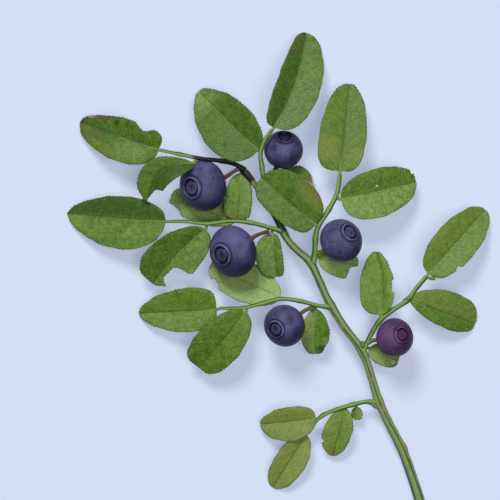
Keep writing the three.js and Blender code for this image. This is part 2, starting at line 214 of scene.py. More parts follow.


# Green mottled at three sizes with a net of tiny sunken veins from a Voronoi pattern, its lines darkened
# with painted shade. The side veins, the crease of the midrib (painted shade) and the dark rim follow
# the blade's own attributes, and so do the halves' painted shade and painted sheen
def makeLeafMaterial():
    material, tree, shader = newMaterial("leafBlade", {
        "Specular IOR Level": 0.24, "Subsurface Weight": 0.06, "Subsurface Scale": 0.0006,
        "Subsurface Radius": (0.5, 1.0, 0.2)})
    c, grain = leafColours, leafGrain
    place = objectPlace(tree)
    broad = noiseOn(place, grain["broad"], 3.0, 0.6)
    mottle = noiseOn(place, grain["mottle"], 5.0, 0.7)
    fine = noiseOn(place, grain["fine"], 3.0, 0.7)
    net = addNode(tree, "ShaderNodeTexVoronoi", {"Vector": place, "Scale": grain["net"]},
                  feature="DISTANCE_TO_EDGE").outputs["Distance"]
    # painted shade in the sunken lines of the net
    netLine = ramp(net, 0.0, 0.18, 1.0, 0.0)
    vein = mathNode("PINGPONG", attribute(tree, "vein"), 0.5)
    veinLine = times(ramp(vein, 0.008, 0.050, 1.0, 0.0), ramp(mottle, 0.38, 0.62, 0.15, 1.0))
    # painted shade in the midrib's crease
    ribLine = ramp(attribute(tree, "rib"), 0.03, 0.17, 1.0, 0.0)
    ribBase = times(ribLine, ramp(attribute(tree, "along"), 1.0, 5.0, 0.75, 0.0))
    rim = ramp(attribute(tree, "rim"), 0.04, 0.26, 1.0, 0.0)

    spread = mathNode("ADD", mottle, times(fine, 0.85))
    # painted shade and painted sheen of the halves and marks, broken up by the mottle
    shaded = times(attribute(tree, "shade"), ramp(spread, 0.70, 1.14, 1.1, 0.72))
    patchySheenAndPale = times(attribute(tree, "paintedSheenAndPale"), ramp(spread, 0.70, 1.14, 0.55, 1.40))
    wornEdge = times(attribute(tree, "brown"), ramp(spread, 0.74, 1.10, 0.25, 1.0))
    speck = ramp(noiseOn(place, grain["speck"], 1.0, 0.4), 0.745, 0.79, 0.0, 0.7)
    speck = mathNode("MAXIMUM", attribute(tree, "dark"), speck)
    colour = mix(ramp(spread, 0.74, 1.10), c["deep"], c["fresh"])
    for share, over in (
            (ramp(broad, 0.50, 0.74, 0.0, 0.38), "olive"), (shaded, "shade"),
            (attribute(tree, "yellow"), "yellow"), (patchySheenAndPale, "paintedSheenAndPale"), (times(netLine, 0.20), "shade"),
            (times(veinLine, 0.30), "rib"), (attribute(tree, "under"), "underside"),
            (times(ribLine, 0.42), "shade"), (ribBase, "rib"), (times(rim, 0.50), "shade"),
            (wornEdge, "brown"), (attribute(tree, "dry"), "dry"), (speck, "dark")):
        colour = mix(share, colour, c[over])
    raised = mathNode("ADD", times(netLine, -0.5), times(fine, 0.5))
    raised = mathNode("ADD", raised, times(veinLine, -1.1))
    dress(shader, colour, ramp(mottle, 0.3, 0.7, 0.44, 0.58), raised, 0.00006)
    return material


berryColours = {
    "ripe": {"skin": (0.0060, 0.0045, 0.022), "bloom": (0.080, 0.076, 0.186),
             "blush": (0.018, 0.010, 0.054), "crest": (0.150, 0.135, 0.245)},
    "ripening": {"skin": (0.022, 0.005, 0.030), "bloom": (0.100, 0.050, 0.145),
                 "blush": (0.085, 0.014, 0.050), "crest": (0.210, 0.110, 0.210)},
}
berryScratches = [           # turn, how drawn out, strength
    ((0.3, 0.5, 0.7), (300, 2100, 1100), 0.30),
    ((1.2, 0.2, 2.1), (2300, 350, 900), 0.38),
]


# Dark skin under a waxy bloom. The bloom is thinner in clouds, where the bloom attribute is low (by the
# calyx, in rubs, and as painted shade and painted shadow on the berry), and in hair-fine scratches
# that run in two directions
def makeBerryMaterial(name, c):
    material, tree, shader = newMaterial(name, {"Specular IOR Level": 0.16})
    place = objectPlace(tree)
    cloud = noiseOn(place, 230, 5.0, 0.6)
    grain = noiseOn(place, 2600, 3.0, 0.65)
    dustAndPaintedShade = mathNode("ADD", ramp(cloud, 0.28, 0.66, 0.42, 1.0), times(mathNode("SUBTRACT", grain, 0.5), 0.75))
    for turn, stretch, strength in berryScratches:
        drawn = addNode(tree, "ShaderNodeMapping", {"Vector": place, "Rotation": turn, "Scale": stretch})
        rub = noiseOn(drawn.outputs["Vector"], 1.0, 2.0, 0.5)
        dustAndPaintedShade = mathNode("SUBTRACT", dustAndPaintedShade, ramp(rub, 0.62, 0.72, 0.0, strength))
    # the bloom attribute brings painted shade and shadow: less bloom shows the dark skin
    dustAndPaintedShade = mathNode("MULTIPLY", dustAndPaintedShade, attribute(tree, "bloom"), clamp=True)
    under = mix(ramp(cloud, 0.42, 0.72), c["skin"], c["blush"])
    colour = mix(dustAndPaintedShade, under, c["bloom"])
    crest = ramp(attribute(tree, "bloom"), 1.02, 1.30, 0.0, 0.48)
    colour = mix(crest, colour, c["crest"])
    dress(shader, colour, ramp(dustAndPaintedShade, 0.0, 1.0, 0.42, 0.60), grain, 0.00003)
    return material


stemColours = {
    "stem": {"hollow": (0.030, 0.060, 0.010), "ridge": (0.170, 0.235, 0.085), "mark": (0.260, 0.130, 0.105)},
    "shoot": {"hollow": (0.026, 0.068, 0.008), "ridge": (0.145, 0.260, 0.060), "mark": (0.150, 0.110, 0.060)},
    "stalk": {"hollow": (0.048, 0.016, 0.016), "ridge": (0.120, 0.044, 0.040), "mark": (0.100, 0.140, 0.045)},
    "cut": (0.420, 0.440, 0.250),
    # painted shadow on stems, down to near black; at the main stem's top it is also the dead stub's own dark
    "dark": (0.003, 0.003, 0.004),
}


# Green along the ridges and darker in the hollows, streaked lengthwise, with tiny cork dots. The ridge
# attribute also paints light on the upper side and shade on the lower, and the dark attribute paints
# shadow toward black
def makeStemMaterial(name, c):
    material, tree, shader = newMaterial(name, {"Specular IOR Level": 0.30})
    place = objectPlace(tree)
    patch = noiseOn(place, 380, 3.0, 0.6)
    grain = noiseOn(place, 3600, 3.0, 0.6)
    dots = addNode(tree, "ShaderNodeTexVoronoi", {"Vector": place, "Scale": 950}).outputs["Distance"]
    dot = ramp(dots, 0.10, 0.17, 1.0, 0.0)
    ridge = mathNode("ADD", attribute(tree, "ridge"), times(mathNode("SUBTRACT", patch, 0.5), 1.1))
    colour = mix(ramp(ridge, 0.0, 1.0), c["hollow"], c["ridge"])
    for share, over in ((times(dot, 0.45), c["mark"]), (times(grain, 0.25), c["hollow"]),
                        (attribute(tree, "mark"), c["mark"]), (attribute(tree, "cut"), stemColours["cut"]),
                        (attribute(tree, "dark"), stemColours["dark"])):
        colour = mix(share, colour, over)
    raised = mathNode("ADD", grain, times(dot, 1.2))
    dress(shader, colour, ramp(patch, 0.3, 0.7, 0.46, 0.62), raised, 0.00004)
    return material


budColours = {"hollow": (0.075, 0.130, 0.024), "scale": (0.150, 0.210, 0.055), "edge": (0.130, 0.060, 0.036)}


# Fine green grain, browner along the edges of the scales
def makeBudMaterial():
    material, tree, shader = newMaterial("budScale", {"Specular IOR Level": 0.45})
    place = objectPlace(tree)
    grain = noiseOn(place, 2600, 3.0, 0.6)
    colour = mix(ramp(grain, 0.3, 0.7), budColours["hollow"], budColours["scale"])
    colour = mix(times(attribute(tree, "edge"), 0.6), colour, budColours["edge"])
    dress(shader, colour, ramp(grain, 0.3, 0.7, 0.44, 0.58), grain, 0.00004)
    return material


materials = {
    "leaf": makeLeafMaterial(),
    "berry": makeBerryMaterial("berrySkin", berryColours["ripe"]),
    "ripening_berry": makeBerryMaterial("ripeningBerrySkin", berryColours["ripening"]),
    "stem": makeStemMaterial("stemBark", stemColours["stem"]),
    "shoot": makeStemMaterial("shootBark", stemColours["shoot"]),
    "stalk": makeStemMaterial("stalkSkin", stemColours["stalk"]),
    "bud": makeBudMaterial(),
}
print("materials made:", len(materials))


# ---- shared shape work

# Smooth curve through the points: centripetal Catmull-Rom, where each knot is the last one plus the
# square root of the distance between points, read off at equal steps of length
def smoothRoute(points, count):
    p = np.array(points, float)
    p = np.vstack([2 * p[0] - p[1], p, 2 * p[-1] - p[-2]])
    knot = np.concatenate([[0], np.cumsum(np.linalg.norm(np.diff(p, axis=0), axis=1) ** 0.5)])
    at = np.linspace(knot[1], knot[-2], 40 * len(points))
    k = np.clip(np.searchsorted(knot, at, side="right") - 1, 1, len(p) - 3)
    k0, k1, k2, k3 = (knot[k + i][:, None] for i in (-1, 0, 1, 2))
    p0, p1, p2, p3 = (p[k + i] for i in (-1, 0, 1, 2))
    at = at[:, None]
    a1 = ((k1 - at) * p0 + (at - k0) * p1) / (k1 - k0)
    a2 = ((k2 - at) * p1 + (at - k1) * p2) / (k2 - k1)
    a3 = ((k3 - at) * p2 + (at - k2) * p3) / (k3 - k2)
    b1 = ((k2 - at) * a1 + (at - k0) * a2) / (k2 - k0)
    b2 = ((k3 - at) * a2 + (at - k1) * a3) / (k3 - k1)
    curve = ((k2 - at) * b1 + (at - k1) * b2) / (k2 - k1)
    run = np.concatenate([[0], np.cumsum(np.linalg.norm(np.diff(curve, axis=0), axis=1))])
    even = np.linspace(0, run[-1], count)
    return np.column_stack([np.interp(even, run, curve[:, axis]) for axis in range(3)]), even


# Directions along, sideways (level) and upwards at each point of a route
def routeFrame(centre):
    along = np.gradient(centre, axis=0)
    along /= np.linalg.norm(along, axis=1, keepdims=True)
    side = np.cross((0, 0, 1.0), along)
    side /= np.linalg.norm(side, axis=1, keepdims=True)
    return along, side, np.cross(along, side)


# Where a wave starts, in radians
def phase():
    return random.uniform(0, 6)


def smoothStep(value, start, end):
    share = np.clip((value - start) / (end - start), 0, 1)
    return share * share * (3 - 2 * share)


# A closed mesh from rows of points that each run once around the piece, with a fan at both ends.
# grid is rows x columns x 3 in millimetres from the middle of the stem's cut end, as the CAD part is
# laid out, and layoutShift moves it under the frame's origin. values are rows x columns
layoutShift = np.array([29.16, -48.09, 0.0])
offBox = {}                  # how far each piece's box lies from its node's, in millimetres


def makePiece(node, grid, values, slotName):
    rows, columns = grid.shape[:2]
    points = np.vstack([grid.reshape(-1, 3), grid[0].mean(0), grid[-1].mean(0)]) + layoutShift
    row, column = np.meshgrid(np.arange(rows - 1), np.arange(columns), indexing="ij")
    corner = row * columns + column
    beside = row * columns + (column + 1) % columns
    quads = np.stack([corner, beside, beside + columns, corner + columns], -1).reshape(-1, 4)
    ring = np.arange(columns)
    nextRing = (ring + 1) % columns
    lastRow = (rows - 1) * columns
    firstFan = np.stack([nextRing, ring, np.full(columns, rows * columns)], -1)
    lastFan = np.stack([lastRow + ring, lastRow + nextRing, np.full(columns, rows * columns + 1)], -1)
    fans = np.vstack([firstFan, lastFan])
    triangles = np.vstack([quads[:, [0, 1, 2]], quads[:, [0, 2, 3]], fans])
    a, b, c = (points[triangles[:, i]] for i in range(3))
    if np.einsum("ij,ij->i", a, np.cross(b, c)).sum() < 0:   # inside out: turn every face round
        quads, fans = quads[:, ::-1], fans[:, ::-1]
    mesh = bpy.data.meshes.new(node)
    mesh.from_pydata(points * mm, [], quads.tolist() + fans.tolist(), shade_flat=False)
    for name, value in values.items():
        whole = np.broadcast_to(value, (rows, columns)).astype(np.float32)
        layer = mesh.attributes.new(name, "FLOAT", "POINT")
        layer.data.foreach_set("value", np.concatenate([whole.ravel(), [whole[0].mean(), whole[-1].mean()]]))
    mesh.materials.append(materials[slotName])
    piece = placeObject(node + "_fine", mesh)
    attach(piece, "root")
    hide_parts(node)
    corners = np.array(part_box(node)) / mm
    placed = points.min(0), points.max(0)
    offBox[node] = float(np.abs(corners - placed).max())


# ---- stem, shoots and berry stalks

mainStem = {
    "radius": (1.04, 0.64),
    "ridges": 4,
    "hollow": 0.13,          # how far a hollow lies inside a ridge, of the radius
    "swelling": 0.16,        # extra girth where a shoot leaves
    "cutSlant": 0.5,
    "steps": 700,
    "route": [
        (0, 0, 1.0), (-2.1, 6.8, 1.25), (-4.3, 12.8, 1.9), (-7.3, 18.8, 2.6), (-9.1, 22.8, 3.0),
        (-10.3, 26.8, 3.5), (-12.3, 32.4, 4.2), (-16.2, 37.8, 4.9), (-19.2, 42.8, 5.3),
        (-21.0, 46.8, 5.6), (-22.8, 50.4, 5.8), (-25.4, 52.8, 5.9), (-27.2, 54.8, 5.9),
        (-29.6, 59.4, 5.8), (-31.4, 62.4, 5.6), (-34.0, 66.2, 5.4), (-35.8, 68.5, 5.2)],
    # scars: place along the route, degrees around it (0 left, 90 on top, 180 right), reach, height
    "scars": [(13.7, 158, 0.75, 0.42), (22.6, 120, 0.6, 0.10), (29.0, 88, 0.42, 0.08), (41.5, 60, 0.5, 0.08),
              (57.5, 110, 0.5, 0.06)],
    # painted shadow: stretches (start, end, strength) darkened toward black, under a leaf and at the dead top
    # stub
    "shaded": [(64.0, 68.0, 0.8), (75.9, 79.5, 1.0)],
}

shoots = {
    "low_left": {"radius": (0.46, 0.4), "route": [
        (-9.8, 22.2, 3.1), (-11.4, 22.4, 3.5), (-14.3, 21.8, 3.8), (-17.6, 20.8, 3.9),
        (-20.3, 19.6, 3.8), (-21.7, 18.3, 3.6), (-23.2, 16.0, 3.2)]},
    "low_right": {"radius": (0.5, 0.5), "route": [
        (-12.2, 32.6, 4.3), (-11.3, 34.5, 4.9), (-9.0, 38.4, 5.4), (-6.5, 40.6, 5.7),
        (-3.4, 42.7, 5.8), (-1.3, 45.4, 5.8), (0.6, 47.6, 5.6)]},
    "mid_left": {"radius": (0.46, 0.36), "route": [
        (-18.5, 41.4, 5.2), (-20.8, 41.6, 5.7), (-24.8, 42.6, 6.3), (-28.6, 43.0, 6.6),
        (-32.4, 42.1, 6.6), (-35.8, 41.3, 6.4), (-41.1, 41.1, 5.9)]},
    "mid_right": {"radius": (0.56, 0.48), "route": [
        (-22.2, 50.4, 5.9), (-21.9, 52.2, 6.6), (-21.7, 55.0, 7.1), (-21.3, 57.2, 7.3),
        (-19.0, 61.0, 7.4), (-17.4, 64.2, 7.1), (-16.8, 68.1, 6.4)]},
    "high_left": {"radius": (0.46, 0.36), "route": [
        (-28.2, 56.5, 5.9), (-30.8, 57.3, 6.5), (-34.8, 58.3, 6.9), (-38.8, 58.6, 7.0),
        (-43.6, 58.1, 6.8), (-47.6, 58.5, 6.5), (-51.2, 58.5, 6.1)]},
    "top": {"radius": (0.5, 0.42), "route": [
        (-31.8, 63.2, 5.7), (-32.0, 66.0, 6.3), (-32.4, 69.4, 7.1), (-32.7, 72.0, 7.6),
        (-31.9, 74.6, 8.0), (-30.3, 77.0, 8.2)]},
    # its first stretch carries painted shadow of the leaf above it
    "tip_left": {"radius": (0.5, 0.36), "shaded": [(-1.0, 11.6, 1.0)], "route": [
        (-36.0, 68.8, 5.2), (-37.6, 69.9, 6.2), (-40.4, 70.6, 7.7), (-44.2, 71.0, 8.9),
        (-48.8, 71.9, 8.5), (-52.9, 72.8, 7.6)]},
}
shootLook = {"ridges": 3, "hollow": 0.12, "collar": 0.55, "jointSwelling": 0.22, "steps": 320}

# A section carried along a route. Reach from the axis at angle a: radius times
# (1 - hollow * (1 - |cos(ridges * a / 2)|)), times one plus a bell-shaped swelling at each joint
def stemSurface(route, radius, ridges, hollow, steps, around, swellings=(), scars=(), shaded=(), twist=0.0,
                girthWave=0.0, tipRound=0.0, cutSlant=0.0):
    centre, run = smoothRoute(route, steps)
    along, side, up = routeFrame(centre)
    angle = np.linspace(0, 2 * np.pi, around, endpoint=False)[None, :]
    turned = angle + twist * (run / run[-1])[:, None]
    ridge = np.abs(np.cos(ridges * turned / 2))
    reach = np.interp(run, [0, run[-1]], radius)[:, None] * (1 - hollow * (1 - ridge))
    for place, length, amount in swellings:
        reach = reach * (1 + amount * np.exp(-((run - place) / length) ** 2))[:, None]
    reach = reach * (1 + girthWave * np.sin(run * 1.9 + 1.3 * np.sin(run * 0.7)))[:, None]
    mark = np.zeros_like(reach)
    for place, degrees, length, lift in scars:
        gap = (angle - np.radians(degrees) + np.pi) % (2 * np.pi) - np.pi
        spot = np.exp(-((run[:, None] - place) / length) ** 2 - (gap * reach / (0.7 * length)) ** 2)
        reach = reach + lift * spot * (1 - 0.5 * spot)
        mark = np.maximum(mark, spot)
    if tipRound:
        left = np.clip((run[-1] - run) / tipRound, 0, 1)
        reach = reach * np.sqrt(np.clip(1 - (1 - left) ** 2, 0.0025, 1))[:, None]
    # painted shadow: each shaded stretch darkens the stem toward black
    dark = np.zeros_like(run)
    for start, end, strength in shaded:
        dark = np.maximum(dark, strength * smoothStep(run, start - 0.5, start + 0.3)
                          * (1 - smoothStep(run, end - 0.8, end + 0.6)))
    outwards = np.cos(angle)[..., None] * side[:, None] + np.sin(angle)[..., None] * up[:, None]
    grid = centre[:, None] + reach[..., None] * outwards
    # painted light and shade: the ridges' colour spreads over most of the upper side, the lower side stays
    # darker
    ridge = smoothStep(ridge, 0.05, 0.70) * (0.05 + 0.95 * smoothStep(np.sin(angle), -0.1, 0.75))
    values = {"ridge": ridge, "mark": mark, "dark": dark[:, None], "cut": 0.0}
    if cutSlant:
        # the first row slides back along the stem by the slant, and a flat face closes it: the rim
        # bevelled, the wood ring, then the pith a little sunk
        rim = grid[0] - along[0] * (cutSlant * np.sin(angle[0]))[:, None]
        hub = rim.mean(0)
        face = np.array([[0.0, 0.02], [0.3, 0.10], [0.36, 0.02], [0.9, 0.0], [0.97, -0.05]])
        cap = hub + face[:, 0, None, None] * (rim - hub)[None] + along[0] * face[:, 1, None, None]
        grid = np.concatenate([cap[1:], rim[None] + along[0] * 0.06, grid[1:]])
        shade = np.array([1.0, 0.7, 0.9, 0.6, 0.1])[:, None]
        values = {"ridge": np.concatenate([np.broadcast_to(ridge[0], (5, around)), ridge[1:]]),
                  "mark": np.concatenate([np.zeros((5, around)), mark[1:]]),
                  "dark": np.concatenate([np.zeros((5, 1)), dark[1:, None]]),
                  "cut": np.concatenate([np.broadcast_to(shade, (5, 1)), np.zeros((steps - 1, 1))])}
    return grid, values, centre, run


def nearestRun(centre, run, point):
    return run[np.argmin(np.linalg.norm(centre - np.array(point), axis=1))]


stemCentre, stemRun = smoothRoute(mainStem["route"], mainStem["steps"])
joints = [(nearestRun(stemCentre, stemRun, shoot["route"][0]), 1.3, mainStem["swelling"])
          for shoot in shoots.values()]
stemGrid, stemValues, _, _ = stemSurface(mainStem["route"], mainStem["radius"], mainStem["ridges"],
                                         mainStem["hollow"], mainStem["steps"], 48, joints, mainStem["scars"],
                                         mainStem["shaded"], twist=2.2, girthWave=0.02,
                                         cutSlant=mainStem["cutSlant"])
stemGrid[..., 2] = np.maximum(stemGrid[..., 2], 0.01)     # its cut end rests on the floor
makePiece("main_stem", stemGrid, stemValues, "stem")

shootCentres = {}
for name, shoot in shoots.items():
    centre, run = smoothRoute(shoot["route"], shootLook["steps"])
    shootCentres[name] = centre
    joints = [(0.0, 1.2, shootLook["collar"])]
    joints += [(nearestRun(centre, run, point), 0.7, shootLook["jointSwelling"])
               for point in shoot["route"][2:-1:2]]
    grid, values, _, _ = stemSurface(shoot["route"], shoot["radius"], shootLook["ridges"],
                                     shootLook["hollow"], shootLook["steps"], 36, joints, (),
                                     shoot.get("shaded", ()), twist=1.2, girthWave=0.03, tipRound=0.35)
    makePiece("shoot_" + name, grid, values, "shoot")
print("stem and shoots made:", 1 + len(shoots))


# ---- berries and their stalks

berryShape = {
    "ringRadius": 0.41,      # of the berry's radius
    "calyxReach": 1.40,      # where the calyx starts, in ring radii
    # the calyx end: distance from the axis in ring radii, height above the ball in millimetres
    "calyx": [(1.40, 0.0), (1.24, -0.01), (1.18, -0.07), (1.13, -0.06), (1.07, 0.06), (1.01, 0.20),
              (0.96, 0.24), (0.91, 0.20), (0.86, 0.03), (0.80, -0.22), (0.72, -0.28), (0.64, -0.15),
              (0.57, -0.04), (0.50, -0.05), (0.36, -0.11), (0.22, -0.14), (0.10, -0.14), (0.012, -0.14)],
    "bloom": [(1.40, 1.0), (1.26, 0.85), (1.19, 0.20), (1.12, 0.15), (1.06, 0.85), (1.01, 1.35), (0.94, 1.30),
              (0.89, 0.5), (0.84, 0.02), (0.70, 0.0), (0.64, 0.15), (0.58, 0.85), (0.50, 0.70), (0.36, 0.62),
              (0.22, 0.58), (0.0, 0.50)],
    "lobes": 5,
    "columns": 180,
    "scar": (0.16, 0.15),    # the style's scar: off the axis, and its reach, in ring radii
    # painted shade on every berry's lower and right side, as less bloom: way, reach in degrees, strength
    "paintedShadeAndRubs": [((0.2, -1.0, -0.1), 88, 0.75), ((1.0, -0.3, -0.15), 84, 0.70)],
}
berries = {
    "tip_left": dict(centre=(-44.2, 65.7, 6.8), radius=5.2, half=3.8, heading=192, tilt=42,
        stalk=[(-36.5, 69.2, 5.4), (-37.8, 68.7, 5.7), (-39.4, 67.6, 5.3), (-41.3, 66.5, 4.1)],
        # its first rub paints the shadow of the leaf at its upper left
        green=0.0, paintedShadeAndRubs=[((-0.70, 0.60, 0.35), 30, 0.95), ((0.75, 0.55, 0.35), 16, 0.45)]),
    "high_left": dict(centre=(-38.2, 52.5, 9.4), radius=5.2, half=3.9, heading=198, tilt=42,
        stalk=[(-30.9, 56.5, 6.2), (-32.6, 56.1, 6.1), (-34.2, 55.3, 6.0), (-35.6, 54.0, 6.4)],
        green=0.0, paintedShadeAndRubs=[((0.75, 0.10, 0.55), 20, 0.55)]),
    "top": dict(centre=(-28.1, 72.9, 4.4), radius=3.95, half=3.7, heading=85, tilt=48,
        stalk=[(-31.6, 67.6, 5.9), (-30.8, 67.9, 4.8), (-30.0, 68.6, 3.8), (-29.2, 69.9, 3.5)],
        # its first rub paints the shadow of the leaf over its top
        green=0.2, paintedShadeAndRubs=[((0.05, 0.90, 0.45), 52, 1.0), ((0.6, 0.3, 0.6), 20, 0.4)]),
    "mid_right": dict(centre=(-16.6, 54.7, 9.5), radius=4.4, half=3.8, heading=43, tilt=43,
        stalk=[(-21.6, 52.0, 6.6), (-20.6, 52.5, 6.3), (-19.6, 52.9, 6.1), (-18.5, 53.2, 6.6)],
        green=0.8),
    "mid_left": dict(centre=(-27.9, 37.7, 8.3), radius=4.2, half=3.8, heading=202, tilt=33,
        stalk=[(-22.1, 41.3, 5.6), (-23.6, 40.8, 5.2), (-25.0, 39.8, 4.7), (-26.0, 38.7, 4.9)],
        green=0.55, paintedShadeAndRubs=[((0.0, 0.85, 0.55), 12, 0.5), ((0.6, -0.3, 0.7), 24, 0.55)]),
    "low_right": dict(centre=(-5.9, 35.3, 8.2), radius=3.85, half=3.4, heading=21, tilt=30,
        stalk=[(-11.4, 34.1, 4.9), (-10.2, 34.7, 4.9), (-8.8, 34.8, 4.7), (-7.4, 34.8, 5.1)],
        green=0.9, slot="ripening_berry"),
}
stalkLook = {"radius": (0.34, 0.52), "ridges": 2, "hollow": 0.06}


# A flattened ball turned about its own axis: distance radius * cos(angle), height half * sin(angle),
# until the calyx, whose rise comes from the table above. Long low waves keep it from being too round.
# The bloom is the table's share times (1 - strength) inside each rub; the shared rubs paint shade on
# each berry's lower and right side, some of a berry's own rubs paint a leaf's shadow, and random scuffs
# wear it
def berrySurface(berry):
    s = berryShape
    radius, half = berry["radius"], berry["half"]
    ring = s["ringRadius"] * radius
    rings, rises = np.array(s["calyx"]).T
    angle = np.linspace(-np.pi / 2 + 0.02, np.arccos(s["calyxReach"] * ring / radius), 90)
    crown = np.linspace(s["calyxReach"], 0.012, 96)
    rise = np.interp(crown, rings[::-1], rises[::-1])
    rise = np.convolve(np.pad(rise, 2, mode="edge"), [0.1, 0.2, 0.4, 0.2, 0.1], "valid")
    away = np.concatenate([radius * np.cos(angle), crown[1:] * ring])
    level = half * np.sqrt(1 - (crown[1:] * ring / radius) ** 2) + rise[1:]
    level = np.concatenate([half * np.sin(angle), level])
    calyxSide = (level > 0)[:, None]
    level = level + 0.35 * np.exp(-(away / 0.9) ** 2) * (level < 0)       # the dimple where the stalk enters
    around = np.linspace(0, 2 * np.pi, s["columns"], endpoint=False)[None, :]
    shift = random.uniform(0, 2 * np.pi, 6)
    wave = (0.010 * np.cos(2 * around + shift[0]) + 0.006 * np.cos(3 * around + shift[1])
            + 0.006 * np.sin(3 * np.pi * level[:, None] / half / 2 + shift[2]) * np.cos(around + shift[3]))
    nearRing = np.exp(-((away / ring - 1.0) / 0.18) ** 2)[:, None] * calyxSide
    lobe = np.cos(s["lobes"] * around + shift[0])
    spread = away[:, None] * (1 + wave * (away / radius)[:, None]) + nearRing * (0.03 * lobe)
    lift = level[:, None] + nearRing * (0.05 * lobe + 0.03 * np.cos(2 * around + shift[1]))
    x, y = spread * np.cos(around), spread * np.sin(around)
    aside, reach = s["scar"]
    gap = np.hypot(x - aside * ring * np.cos(shift[4]), y - aside * ring * np.sin(shift[4]))
    scar = np.exp(-(gap / (reach * ring)) ** 4) * calyxSide
    z = lift - 0.07 * scar

    a, b = np.radians(berry["heading"]), np.radians(berry["tilt"])
    axis = np.array([np.sin(b) * np.cos(a), np.sin(b) * np.sin(a), np.cos(b)])
    hinge = np.array([-np.sin(a), np.cos(a), 0])
    turn = np.column_stack([np.cross(hinge, axis), hinge, axis])     # local x, y, z of the tilted berry
    spun = np.stack([x * np.cos(a) + y * np.sin(a), -x * np.sin(a) + y * np.cos(a), z], -1)
    outwards = spun @ turn.T
    grid = outwards + np.array(berry["centre"])

    blooms = np.array(s["bloom"])
    bloom = np.where(calyxSide, np.interp(away / ring, blooms[::-1, 0], blooms[::-1, 1])[:, None], 1.0)
    inDisc = smoothStep(0.60 * ring - away, 0.0, 0.12 * ring)[:, None] * calyxSide
    bloom = bloom * (1 + 0.20 * inDisc * np.cos(11 * around + shift[5])) * (1 - 0.95 * scar)
    bloom = bloom * (1 + 0.16 * nearRing * (lobe + np.cos(3 * around + shift[3])))
    bloom = bloom * (1 - 0.5 * np.exp(-(away / 1.2) ** 2)[:, None] * ~calyxSide)
    outwards = outwards / np.linalg.norm(outwards, axis=-1, keepdims=True)
    scuffs = [(random.normal(0, 1, 3) + (0, 0, 0.8), random.uniform(7, 17), random.uniform(0.25, 0.5))
              for _ in range(5)]
    for way, wide, strength in s["paintedShadeAndRubs"] + berry.get("paintedShadeAndRubs", []) + scuffs:
        near = outwards @ (np.array(way) / np.linalg.norm(way))
        wearAndPaintedShade = smoothStep(near, np.cos(np.radians(wide)), np.cos(np.radians(0.3 * wide)))
        bloom = bloom * (1 - strength * wearAndPaintedShade)
    return grid, {"bloom": bloom}


for name, berry in berries.items():
    grid, values = berrySurface(berry)
    makePiece("berry_" + name, grid, values, berry.get("slot", "berry"))
    # the stalk runs on from its last point to inside the berry's foot
    last, centre = np.array(berry["stalk"][-1]), np.array(berry["centre"])
    route = berry["stalk"] + [tuple(0.72 * last + 0.28 * centre)]
    grid, values, _, run = stemSurface(route, stalkLook["radius"], stalkLook["ridges"], stalkLook["hollow"],
                                       120, 28, [(0.0, 0.8, 0.5)], girthWave=0.04, tipRound=0.2)
    greenShare = berry["green"] * (1 - 0.6 * smoothStep(run, 1.0, run[-1]))
    values["mark"] = greenShare[:, None]
    makePiece("stalk_" + name, grid, values, "stalk")
print("berries and stalks made:", 2 * len(berries))


# ---- leaves

leafShape = {
    "thickness": 0.20,
    "petiole": 0.27,         # half-width of the little stalk of a leaf
    "baseHalfWidth": 0.32,
    "tipHalfWidth": 0.12,
    "toothSpacing": 0.66,
    "toothHeight": 0.15,
    "veinSpacing": 2.1,
    "ribGroove": 0.10,
    "ribKeel": 0.22,
    "pillow": 0.024,
    "edgeDroop": 0.10,
    "wave": 0.10,
    "lightAndTintBlend": 0.22,
    "rows": 230,
    "columns": 24,           # from the midrib to the margin
}

# A leaf is where its blade starts, its heading in degrees, its length, its left and right halves, the
# tip's height above the base, and the painted light and tint of both halves. A half, seen from base to
# tip, is its greatest half-width and how pointed it is at the base and at the tip. arch is the extra
# height of the middle, bow the midrib's sideways bend, and fold the slopes of both halves up from the
# midrib. A bite is (side, place, reach, depth, how steep its sides are). A half's painted light and tint
# is (painted shade, painted sheen and pale, yellow): painted shade darkens a half turned from the light,
# the second share paints sheen on a half turned to the light, paints light on a half that lies in a
# berry's shadow and makes pale leaves pale, and yellow is the leaf's own yellowing. A mark is (kind,
# along, across, reach along, reach across, strength), across from -1 right to 1 left; shade marks paint
# shade in creases and folds and a neighbour's shadow. A curl is (along, across, reach along, reach
# across, lift, pull inwards), and a hook (where the tip starts to bend, sideways, up)
def oneLeaf(base, toward, length, left, right, rise, leftPaintedLightAndTint, rightPaintedLightAndTint, **more):
    return dict(base=base, toward=toward, length=length, left=left, right=right, rise=rise,
                leftPaintedLightAndTint=leftPaintedLightAndTint, rightPaintedLightAndTint=rightPaintedLightAndTint, **more)
